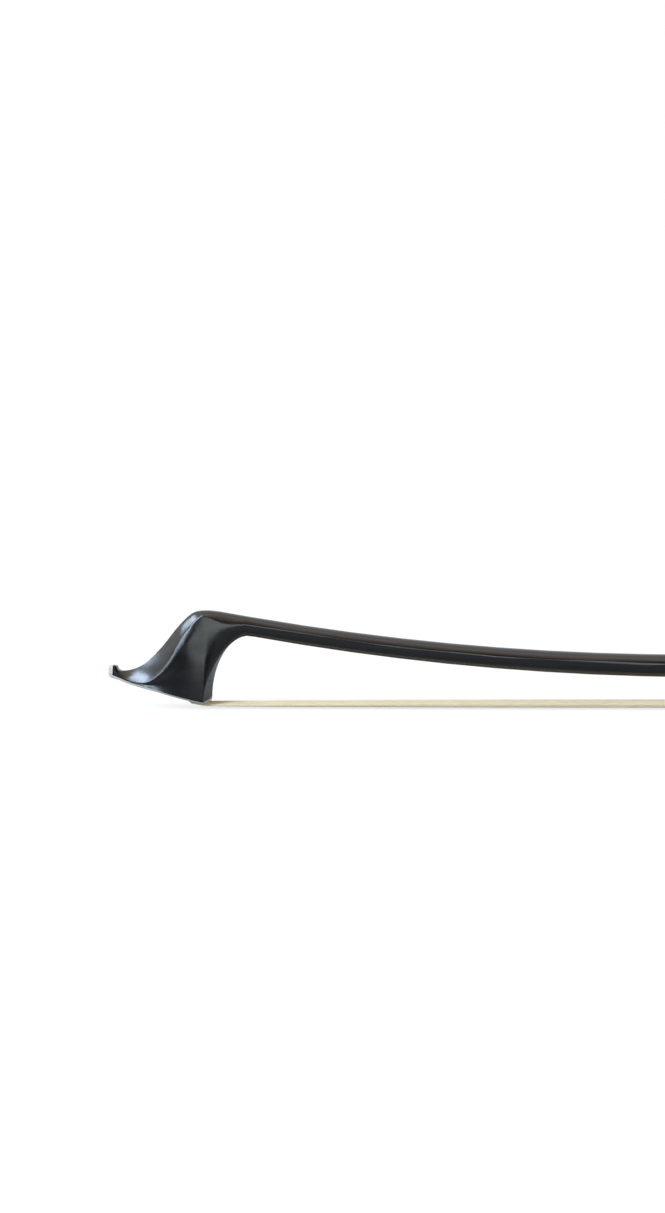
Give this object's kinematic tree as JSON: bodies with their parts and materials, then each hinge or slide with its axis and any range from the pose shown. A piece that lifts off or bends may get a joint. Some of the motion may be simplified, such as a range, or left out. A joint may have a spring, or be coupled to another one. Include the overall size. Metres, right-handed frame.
{
  "type": "string instrument bow",
  "caption": "Bow for a bowed string instrument: cambered stick with a moulded head, ribbon of hair, and a frog that a turning end screw slides along the handle.",
  "frame": {"origin": "on the surface that the bow stands on, hair down, under the centre of its box", "axes": "+X runs along the hair from the head to the end screw, +Y across the bow, +Z from the hair up to the stick"},
  "size_m": [0.7454, 0.0132, 0.0282],
  "materials": {
    "carbon_fibre": "satin clear coat",
    "ivory_white": "smooth, low sheen",
    "horsehair": "bleached, unspun hair",
    "ebony": "oiled and polished",
    "mother_of_pearl": "polished shell",
    "maple": "bare",
    "waxed_thread": "waxed",
    "leather": "thin, burnished",
    "nickel_silver": "polished, slightly warm",
    "silver_wire": "drawn wire",
    "steel": "turned",
    "brass": "turned, dull"
  },
  "bodies": {
    "stick": {"stick": "carbon_fibre", "tip_plate": "ivory_white", "hair_ribbon": "horsehair", "hair_knot_tip": "waxed_thread", "head_plug": "maple", "grip_winding": "silver_wire", "thumb_leather": "leather"},
    "frog": {"frog_body": "ebony", "ferrule": "nickel_silver", "spreader_wedge": "maple", "hair_knot_frog": "waxed_thread", "frog_plug": "maple", "slide_base": "ebony", "pearl_slide": "mother_of_pearl", "underslide": "nickel_silver", "underslide_pin_front": "nickel_silver", "underslide_pin_rear": "nickel_silver", "heel_plate_back": "nickel_silver", "heel_plate_bottom": "nickel_silver", "heel_pin_upper": "nickel_silver", "heel_pin_lower": "nickel_silver", "heel_pin_foot": "nickel_silver", "eye_pearl_left": "mother_of_pearl", "eye_pearl_right": "mother_of_pearl", "eye_ring_left": "nickel_silver", "eye_ring_right": "nickel_silver", "eyelet": "brass"},
    "adjuster": {"adjuster_screw": "steel", "button_core": "ebony", "button_collar": "nickel_silver", "button_cap": "nickel_silver", "button_pearl": "mother_of_pearl"}
  },
  "joints": [
    {"name": "screw_turn", "type": "hinge", "parent": "stick", "child": "adjuster", "pos_m": [0.35892, 0, 0.02336], "axis": [-0.9994, 0, -0.035], "range_deg": [-2160, 1440]},
    {"name": "frog_slide", "type": "slide", "parent": "stick", "child": "frog", "axis": [0.9994, 0, 0.035], "range_m": [-0.0042, 0.0028], "deforming": ["hair_ribbon"]}
  ],
  "couplings": [
    {"joint": "screw_turn", "follows": "frog_slide", "rad_per_m": 8976}
  ]
}
